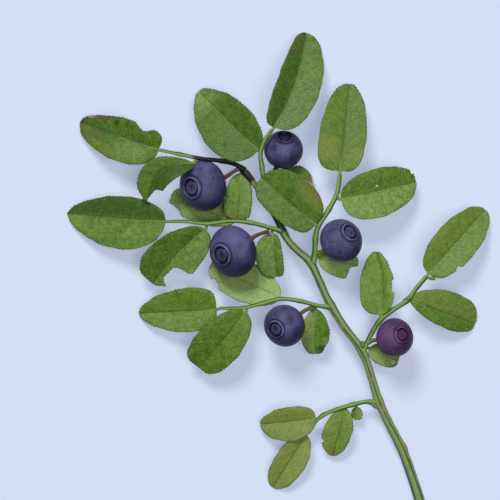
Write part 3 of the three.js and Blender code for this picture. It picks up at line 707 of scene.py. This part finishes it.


# each leaf's two tones paint shade and sheen on its halves; its shade marks paint shade and shadow
leaves = {
    "low_left": [
        oneLeaf((-13.5, 21.3, 3.1), -85, 2.6, (1.2, 0.4, 0.4), (1.1, 0.4, 0.4), -0.9, (0, 0.55, 0.2),
            (0.15, 0.1, 0.2)),
        oneLeaf((-15.6, 21.0, 3.3), -105.5, 9.9, (2.5, 0.55, 0.6), (3.2, 0.6, 0.5), -2.0, (0, 0.2, 0.2),
            (0, 0.15, 0.35), arch=0.5, fold=(0.35, 0.3), bites=[("right", 0.75, 0.022, 0.4, 2)],
            marks=[("brown", 0.90, 0.1, 0.07, 0.4, 0.7)]),
        oneLeaf((-21.6, 19.0, 3.5), 186, 11.2, (3.9, 0.5, 0.55), (2.9, 0.35, 0.5), -1.9, (0.4, 0.25, 0.35),
            (0, 0.05, 0.55), arch=0.9, fold=(0.2, 0.35)),
        oneLeaf((-23.6, 15.7, 3.1), -122, 12.5, (3.3, 0.5, 0.5), (2.9, 0.5, 0.45), -2.9, (0.4, 0.3, 0.6),
            (0, 0.1, 0.65), arch=0.5, fold=(0.25, 0.35),
            marks=[("brown", 0.30, -1.0, 0.07, 0.22, 0.8), ("brown", 0.05, 0.95, 0.05, 0.4, 0.8)]),
    ],
    "low_right": [
        oneLeaf((-10.9, 33.1, 3.7), -25, 6.4, (2.1, 0.5, 0.4), (2.1, 0.4, 0.35), -1.9, (0, 0.3, 0.25),
            (0, 0.65, 0.35), marks=[("brown", 0.93, -0.6, 0.10, 0.6, 0.7),
            ("dry", 0.88, -0.35, 0.05, 0.25, 0.7), ("yellow", 0.60, -0.2, 0.30, 0.7, 0.4)]),
        oneLeaf((-8.7, 39.9, 5.6), 93.3, 12.6, (4.7, 0.4, 0.6), (2.2, 0.3, 0.5), -2.4, (0, 0.15, 0.2),
            (0.1, 0.2, 0.25), arch=0.8, bow=-0.9, fold=(0.35, 0.6),
            # the shade mark paints shade along a fold
            bites=[("right", 0.44, 0.1, 0.5, 6)], marks=[("shade", 0.45, -0.24, 0.38, 0.10, 1.0),
            ("brown", 0.44, -1.0, 0.10, 0.15, 0.5)]),
        oneLeaf((-2.8, 42.7, 5.6), -20, 14.0, (4.5, 0.5, 0.35), (2.8, 0.7, 0.4), -5.4, (0, 0.1, 0.3),
            (0.2, 0, 0.05), arch=1.1, fold=(0.25, 0.2)),
        oneLeaf((0.9, 48.1, 5.5), 48.4, 17.2, (4.2, 0.42, 0.5), (4.3, 0.4, 0.45), -5.3, (0, 0, 0.3),
            (0.4, 0.25, 0.15), arch=1.6, fold=(0.4, 0.25),
            bites=[("right", 0.28, 0.028, 0.55, 2)]),
    ],
    "mid_left": [
        oneLeaf((-21.7, 41.0, 4.9), -90, 9.0, (2.8, 0.55, 0.4), (2.8, 0.55, 0.4), -2.4, (0.2, 0.05, 0),
            (0, 0.3, 0.3), arch=0.4, fold=(0.2, 0.2), curls=[(0.86, 0.75, 0.10, 0.5, 0.9, 0.5)],
            marks=[("dark", 0.84, 0.72, 0.045, 0.25, 0.6), ("brown", 0.80, 0.95, 0.08, 0.25, 0.6)]),
        oneLeaf((-28.8, 43.3, 6.1), 155, 15.4, (4.1, 0.5, 0.45), (4.0, 0.5, 0.45), -3.0, (0, 1.0, 0.4),
            (0, 1.0, 0.6), arch=0.2, fold=(0.25, -0.05), bites=[("left", 0.84, 0.06, 0.8, 6)],
            marks=[("brown", 0.96, 0.4, 0.06, 0.5, 0.7)]),
        oneLeaf((-35.6, 40.3, 6.2), -130.3, 14.6, (4.4, 0.45, 0.35), (4.6, 0.4, 0.2), -3.0, (0.1, 0, 0.05),
            (0.05, 0, 0), arch=1.2, fold=(0.2, 0.35)),
        oneLeaf((-41.5, 40.9, 5.7), 183, 15.6, (4.2, 0.35, 0.6), (4.6, 0.25, 0.55), -4.8, (0, 0.2, 0.05),
            (0, 0, 0.15), arch=0.2, fold=(0.15, 0.3)),
    ],
    "mid_right": [
        oneLeaf((-21.0, 51.3, 5.2), -12, 8.0, (2.6, 0.4, 0.4), (3.1, 0.4, 0.18), -2.0, (0, 0.4, 0.2),
            (0, 0.85, 0.5), bites=[("right", 0.99, 0.2, 2.4, 14)]),
        oneLeaf((-21.7, 57.9, 7.9), 139, 14.2, (4.3, 0.28, 0.25), (5.4, 0.35, 0.4), -0.2, (0.5, 0.1, 0),
            (0.3, 0, 0), arch=0.9, fold=(0.12, 0.3),
            marks=[("brown", 0.38, -0.98, 0.30, 0.16, 0.75), ("yellow", 0.30, -0.70, 0.26, 0.35, 0.40),
            # the shade mark paints shade along a groove
            ("shade", 0.45, -0.30, 0.30, 0.16, 0.5)]),
        oneLeaf((-16.6, 63.0, 7.0), 13, 15.5, (4.3, 0.45, 0.38), (5.3, 0.35, 0.5), -4.2, (0, 0, 0.05),
            (0, 0.35, 0), arch=1.2, fold=(0.3, 0.2), bites=[("left", 0.965, 0.010, 0.55, 2)],
            marks=[("dry", 0.49, 0.22, 0.012, 0.05, 1.0), ("dark", 0.49, 0.31, 0.012, 0.03, 0.7),
            ("dark", 0.963, 0.85, 0.012, 0.30, 0.7)]),
        oneLeaf((-16.8, 68.6, 6.3), 83.9, 17.6, (4.9, 0.2, 0.42), (4.5, 0.28, 0.45), -4.5, (0.3, 0, 0.15),
            (0.5, 0.14, 0.05), arch=1.2, fold=(0.2, 0.2),
            marks=[("brown", 0.55, 0.0, 0.40, 0.06, 0.45), ("yellow", 0.25, 0.6, 0.16, 0.5, 0.5),
            ("yellow", 0.16, -0.6, 0.14, 0.5, 0.4)]),
    ],
    "high_left": [
        oneLeaf((-30.4, 56.0, 5.6), -83, 8.6, (1.6, 0.25, 0.2), (3.8, 0.35, 0.35), 0.3, (0.4, 0.05, 0.05),
            (0.3, 0.15, 0), arch=0.5, fold=(0.3, 0.1)),
        oneLeaf((-37.8, 58.7, 5.6), 161.5, 13.7, (2.7, 0.4, 0.35), (4.2, 0.5, 0.4), -4.2, (0, 1.0, 0.4),
            (0, 0.85, 0.1), arch=-1.0, fold=(0.0, -0.12), bites=[("left", 0.88, 0.1, 0.7, 6)]),
        oneLeaf((-43.7, 56.9, 6.3), -134, 15.2, (5.1, 0.42, 0.3), (4.9, 0.5, 0.16), -3.4, (0.2, 0.2, 0),
            (0.4, 0, 0), bow=-0.8, arch=0.6, fold=(0.2, 0.4),
            bites=[("left", 0.74, 0.16, 3.6, 6), ("left", 0.99, 0.08, 1.7, 6)]),
        oneLeaf((-51.7, 58.5, 5.9), 175.4, 19.9, (6.2, 0.51, 0.7), (4.35, 0.48, 0.65), -5.7, (0.1, 0.1, 0),
            (0.95, 0, 0), arch=0.2, fold=(0.15, 0.15),
            # the shade mark paints the shadow of the neighbouring leaf's tip
            marks=[("shade", 0.20, -0.95, 0.06, 0.3, 0.8), ("yellow", 0.92, 0.4, 0.10, 0.6, 0.3)]),
    ],
    "top": [
        oneLeaf((-30.9, 66.2, 4.7), 6, 9.8, (1.5, 0.4, 0.25), (0.9, 0.5, 0.5), -1.0, (0.7, 0, 0.05),
            (0.1, 0, 0.1), arch=-1.1, bow=1.4, fold=(-0.1, 0.0), hook=(0.62, -2.0, 0.4),
            # the shade mark paints shade along the upper edge
            marks=[("shade", 0.5, 1.0, 0.6, 0.6, 0.9), ("brown", 0.90, 0.0, 0.06, 2.0, 0.9),
            ("dry", 1.0, 0.0, 0.08, 2.0, 1.0)]),
        oneLeaf((-33.1, 72.7, 7.2), 135, 16.9, (6.5, 0.4, 0.6), (4.4, 0.5, 0.6), -6.0, (0.6, 0.03, 0.05),
            (0.55, 0, 0), arch=1.4, fold=(0.12, 0.35),
            marks=[("dark", 0.33, 0.62, 0.018, 0.06, 0.85), ("paintedSheenAndPale", 0.92, 0.2, 0.16, 1.2, 0.45)]),
        oneLeaf((-30.0, 77.3, 8.2), 71.4, 20.2, (3.4, 0.35, 0.45), (5.4, 0.3, 0.4), -8.0, (0.85, 0, 0),
            (0.7, 0.22, 0), arch=1.2, bow=-1.0, fold=(0.5, 0.15),
            marks=[("brown", 0.86, 0.6, 0.13, 0.35, 0.55)]),
    ],
    "tip_left": [
        oneLeaf((-36.6, 68.1, 4.4), -95, 9.2, (2.7, 0.4, 0.22), (2.9, 0.45, 0.28), 1.6, (0.3, 0.2, 0),
            (0, 0.05, 0), arch=0.6, fold=(0.2, 0.1),
            marks=[("brown", 0.95, -0.5, 0.09, 0.8, 0.6)]),
        oneLeaf((-46.0, 70.1, 8.7), -140.6, 12.2, (3.0, 0.5, 0.4), (3.4, 0.6, 0.15), -2.0, (1, 0, 0),
            (0.45, 0.05, 0), bow=-3.0, arch=1.0, fold=(0.6, 0.1),
            bites=[("left", 0.87, 0.16, 1.5, 6)], marks=[("brown", 0.98, 0.0, 0.07, 1.3, 0.5),
            ("yellow", 0.90, 0.0, 0.12, 1.3, 0.15)]),
        oneLeaf((-53.0, 72.8, 7.5), 160.3, 16.9, (4.9, 0.42, 0.55), (3.9, 0.22, 0.5), -7.2, (0.55, 0, 0.1),
            (0.35, 0, 0), arch=0.8, fold=(0.1, 0.35), bites=[("right", 0.25, 0.09, 1.35, 2)],
            marks=[("brown", 1.0, -0.5, 0.07, 1.1, 1.0), ("brown", 0.84, -1.05, 0.20, 0.42, 1.0),
            ("dark", 1.0, -0.7, 0.035, 0.7, 0.8), ("dark", 0.93, -0.8, 0.015, 0.15, 0.7),
            ("dark", 0.58, -0.70, 0.02, 0.10, 0.8), ("brown", 0.78, 0.2, 0.10, 0.32, 0.40),
            ("dark", 0.76, -1.0, 0.16, 0.07, 0.55), ("dark", 0.70, -0.82, 0.012, 0.05, 0.8),
            ("dry", 0.90, -0.92, 0.05, 0.12, 0.35), ("brown", 0.93, 0.9, 0.07, 0.25, 0.8),
            # the first shade mark darkens a bruise, the second paints shade in the midrib's crease
            ("shade", 0.78, 0.2, 0.14, 0.45, 0.6), ("shade", 0.68, 0.06, 0.24, 0.10, 1.0),
            ("yellow", 0.62, 0.80, 0.26, 0.34, 0.30), ("paintedSheenAndPale", 0.30, 0.5, 0.22, 0.5, 0.25)]),
    ],
}


# Half-width at t, 0 at the base and 1 at the tip: t^base * (1-t)^tip scaled to the greatest
# half-width at its widest place, base/(base+tip), less a flat-bottomed bell for each bite.
# bitten is 1 inside a bite
def halfWidth(leaf, side, t):
    most, base, tip = leaf[side]
    widest = base / (base + tip)
    width = most * (t / widest) ** base * ((1 - t) / (1 - widest)) ** tip
    bitten = np.zeros_like(t)
    for biteSide, place, reach, depth, steepness in leaf.get("bites", ()):
        if biteSide == side:
            bell = np.exp(-np.abs((t - place) / reach) ** steepness)
            width = width - depth * bell
            bitten = np.maximum(bitten, smoothStep(bell, 0.1, 0.4))
    least = leafShape["baseHalfWidth"] + (leafShape["tipHalfWidth"] - leafShape["baseHalfWidth"]) * t
    return np.maximum(width, least), bitten


# How far the edge stands out: forward-leaning saw teeth by the length run along the edge, which rise
# over four fifths of the spacing and fall over the rest, plus slow waves, all fading at both ends
def edgeTeeth(x, width, bitten):
    run = np.concatenate([[0], np.cumsum(np.hypot(np.diff(x), np.diff(width)))])
    spacing = run[-1] / max(1, round(run[-1] / leafShape["toothSpacing"]))
    drift = 0.18 * np.sin(run * 0.9 + phase()) + 0.12 * np.sin(run * 2.3 + phase())
    part = (run / spacing + drift) % 1
    saw = np.minimum(part / 0.78, (1 - part) / 0.22)
    size = leafShape["toothHeight"] * (0.8 + 0.35 * np.sin(run * 1.7 + phase()))
    slow = 0.045 * np.sin(run * 1.1 + phase()) + 0.025 * np.sin(run * 2.6 + phase())
    chewed = 0.04 * np.sin(run * 7.0 + phase()) + 0.025 * np.sin(run * 13.0)
    fade = smoothStep(run, 0.3, 1.6) * smoothStep(run[-1] - run, 0.0, 0.5)
    return fade * ((1 - bitten) * size * saw + slow + bitten * chewed)


# A blade with two faces, as rows of points around its section from base to tip. With hump = 4t(1-t)
# and u from 1 at the left edge to -1 at the right: aside = bow * hump + u * width, and
# height = rise * t + arch * hump + fold * |u| * width, plus the groove and keel of the midrib, pillows
# between side veins, a drooping edge and a slow wave
def leafSurface(leaf, stemPoints):
    s = leafShape
    rows, columns = s["rows"], s["columns"]
    t = ((1 - np.cos(np.pi * np.linspace(0, 1, rows))) / 2)[:, None]
    half = (1 - np.cos(np.pi * np.linspace(0, 1, columns + 1))) / 2
    top = np.concatenate([half[::-1], -half[1:]])
    u = np.concatenate([top, top[-2:0:-1]])[None, :]
    face = np.concatenate([[0], np.ones(2 * columns - 1), [0], -np.ones(2 * columns - 1)])[None, :]
    length = leaf["length"]
    size = min(1.0, length / 9)                       # small leaves have small relief
    x = length * t
    hump = 4 * t * (1 - t)
    edges = {}
    for side in ("left", "right"):
        width, bitten = halfWidth(leaf, side, t[:, 0])
        out = edgeTeeth(x[:, 0], width, bitten) * (0.6 + 0.4 * size)
        dx, dw = np.gradient(x[:, 0]), np.gradient(width)
        norm = np.hypot(dx, dw) + 1e-9
        edges[side] = (width, out * dx / norm, out * (-dw / norm + 0.35))
    onLeft = u > 0
    width, toothAside, toothAhead = (np.where(onLeft, ofLeft[:, None], ofRight[:, None])
                                     for ofLeft, ofRight in zip(edges["left"], edges["right"]))
    span = np.abs(u) * width                          # distance from the midrib
    nearEdge = np.abs(u) ** 14
    fold = np.where(onLeft, *leaf.get("fold", (0.1, 0.1)))
    aside = leaf.get("bow", 0) * hump + u * width + np.sign(u) * nearEdge * toothAside
    ahead = x + nearEdge * toothAhead
    height = leaf["rise"] * t + leaf.get("arch", 0) * hump + fold * span

    vein = (x - 0.62 * span - 0.075 * span ** 2) / s["veinSpacing"] + np.where(onLeft, 0.0, 0.45)
    vein = vein + 0.10 * np.sin(span * 1.3 + phase()) + 0.06 * np.sin(x * 0.8 + phase())
    window = np.clip(4 * np.abs(u) * (1 - np.abs(u)), 0, 1) ** 0.6
    between = np.sin(np.pi * vein) ** 2
    height = height + size * s["pillow"] * (between - 0.5) * window * smoothStep(x, 0.5, 2.0)
    height = height + size * 0.22 * fold / 0.25 * np.abs(u) * (1 - np.abs(u))      # halves are a little full
    height = height - size * s["edgeDroop"] * np.abs(u) ** 7
    swings = random.uniform(1.4, 2.4) * (1 if length > 6 else 0.5)
    height = height + size * s["wave"] * u ** 2 * np.where(
        onLeft, np.sin(2 * np.pi * swings * t + phase()),
        np.sin(2 * np.pi * swings * t + phase())) * hump
    for place, across, reachAlong, reachAcross, lift, pull in leaf.get("curls", ()):
        curl = np.exp(-((t - place) / reachAlong) ** 2 - ((u - across) / reachAcross) ** 2)
        height = height + lift * curl
        aside = aside - pull * curl * np.sign(across)
    if "hook" in leaf:
        start, sideways, down = leaf["hook"]
        bend = np.clip((t - start) / (1 - start), 0, 1) ** 2
        aside = aside + sideways * bend
        ahead = ahead - 0.35 * np.abs(sideways) * bend
        height = height + down * bend

    # thickness: round at the petiole, then a thin plate with a rounded edge
    flat = smoothStep(x, 0.0, 1.2)
    power = 2 + 8 * flat
    lens = np.sqrt(np.clip(1 - np.abs(u) ** power, 0, 1)) * face
    nearRib = np.exp(-(span / 0.35) ** 2)
    thick = s["thickness"] / 2 + (s["petiole"] - s["thickness"] / 2) * nearRib * np.exp(-x / 1.3)
    groove = s["ribGroove"] * size * np.exp(-(span / 0.20) ** 2) * smoothStep(x, 0.6, 2.5) * (1 - 0.5 * t)
    keel = s["ribKeel"] * size * np.exp(-(span / 0.26) ** 2) * (1 - 0.7 * t)
    veinRidge = 0.05 * size * (1 - between) ** 6 * window
    height = height + lens * thick - groove * (face > 0) - (keel + veinRidge) * (face < 0)

    heading = np.radians(leaf["toward"])
    along = np.array([np.cos(heading), np.sin(heading), 0])
    across = np.array([-np.sin(heading), np.cos(heading), 0])
    base = np.array(leaf["base"], float)
    upwards = np.array([0, 0, 1.0])
    blade = base + ahead[..., None] * along + aside[..., None] * across + height[..., None] * upwards

    # petiole: a bent round stalk from inside the shoot to the blade, a curve through three points
    start = stemPoints[np.argmin(np.linalg.norm(stemPoints - base, axis=1))]
    step = np.linspace(0, 1, 14)[:-1, None]
    bend = base - along * 0.45 * np.linalg.norm(base - start)
    centre = (1 - step) ** 2 * start + 2 * step * (1 - step) * bend + step ** 2 * base
    way = 2 * (1 - step) * (bend - start) + 2 * step * (base - bend) + along * 0.05
    level = np.stack([-way[:, 1], way[:, 0], 0 * way[:, 0]], -1)
    level /= np.linalg.norm(level, axis=1, keepdims=True) + 1e-9
    bulge = np.sqrt(np.clip(1 - u ** 2, 0, 1)) * face
    stout = s["petiole"] * (1.25 - 0.25 * step)
    stalk = (centre[:, None] + (u * (stout + 0.04 * step))[..., None] * level[:, None]
             + (bulge * stout)[..., None] * upwards)
    grid = np.concatenate([stalk, blade])

    shape = np.ones_like(stalk[..., 0])
    under = np.clip(-face, 0, 1) * np.ones_like(t)
    # the two halves' painted shade, painted sheen and tint meet softly over the midrib
    leftShare = (1 + np.sign(u) * smoothStep(np.abs(u), 0.0, s["lightAndTintBlend"])) / 2 * np.ones_like(t)
    kinds = {kind: leaf["leftPaintedLightAndTint"][order] * leftShare + leaf["rightPaintedLightAndTint"][order] * (1 - leftShare)
             for order, kind in enumerate(("shade", "paintedSheenAndPale", "yellow"))}
    kinds.update({kind: np.zeros_like(width) for kind in ("brown", "dark", "dry")})
    for kind, place, spot, reachAlong, reachAcross, strength in leaf.get("marks", ()):
        bell = np.exp(-np.abs((t - place) / reachAlong) ** 3 - np.abs((u - spot) / reachAcross) ** 3)
        kinds[kind] = np.maximum(kinds[kind], strength * bell)
    rim = (1 - np.abs(u)) * width                     # distance from the margin
    bladeValues = {"vein": vein, "rib": span, "along": x, "rim": rim, "under": under, **kinds}
    stalkValues = {"vein": 0.5, "rim": 1.0, "yellow": 0.3}
    whole = np.ones_like(blade[..., 0])
    values = {name: np.concatenate([shape * stalkValues.get(name, 0.0), value * whole])
              for name, value in bladeValues.items()}
    return grid, values


leafCount = 0
for shootName, blades in leaves.items():
    stemPoints = np.vstack([shootCentres[shootName], stemCentre])
    for number, leaf in enumerate(blades, 1):
        grid, values = leafSurface(leaf, stemPoints)
        makePiece(f"leaf_{shootName}_{number}", grid, values, "leaf")
        leafCount += 1
print("leaves made:", leafCount)


# ---- buds

buds = {
    "stem_low": dict(at=(-9.9, 21.6, 3.6), toward=150, lift=10, length=1.5, girth=0.8),
    "stem_middle": dict(at=(-12.3, 34.0, 5.4), toward=95, lift=35, length=1.7, girth=0.85),
    "right_axil": dict(at=(-3.0, 43.2, 6.3), toward=20, lift=15, length=1.5, girth=0.7),
    "right_tip": dict(at=(1.7, 47.1, 5.9), toward=-10, lift=10, length=1.5, girth=0.7),
    "mid_right": dict(at=(-17.4, 63.6, 7.4), toward=60, lift=35, length=1.5, girth=0.7),
}
budOutline = [(0.02, -0.84), (0.20, -0.80), (0.24, -0.62), (0.30, -0.48), (0.38, -0.36), (0.48, -0.16),
              (0.48, 0.0), (0.40, 0.2), (0.26, 0.36), (0.12, 0.46), (0.01, 0.5)]


# A pointed egg wrapped in scales: the outline turned about its axis, standing out by a thin step
# below each scale's edge, which climbs to one side of the bud
def budSurface(bud):
    outline, _ = smoothRoute([(away, 0, level) for away, level in budOutline], 70)
    angle = np.linspace(0, 2 * np.pi, 56, endpoint=False)[None, :]
    level = outline[:, 2][:, None] * np.ones_like(angle)
    away = outline[:, 0][:, None] * np.ones_like(angle)
    edge = np.zeros_like(level)
    for order in range(3):
        brim = 0.42 - 0.24 * order - 0.20 * (1 - np.cos(angle - 2.2 * order)) / 2
        inside = smoothStep(brim - level, -0.01, 0.03)
        away = away + 0.035 * inside * smoothStep(away, 0.02, 0.15)
        edge = np.maximum(edge, np.exp(-((brim - level) / 0.03) ** 2))
    a, b = np.radians(bud["toward"]), np.radians(90 - bud["lift"])
    axis = np.array([np.sin(b) * np.cos(a), np.sin(b) * np.sin(a), np.cos(b)])
    hinge = np.array([-np.sin(a), np.cos(a), 0])
    first = np.cross(hinge, axis)
    girth, length = bud["girth"], bud["length"]
    grid = (np.array(bud["at"]) + (away * girth * np.cos(angle))[..., None] * first
            + (away * girth * np.sin(angle))[..., None] * hinge + (level * length)[..., None] * axis)
    return grid, {"edge": edge}


for name, bud in buds.items():
    grid, values = budSurface(bud)
    makePiece("bud_" + name, grid, values, "bud")
print("buds made:", len(buds))

furthest = sorted(offBox, key=offBox.get)[-6:]
print("furthest off their boxes:", {node: round(offBox[node], 2) for node in furthest})
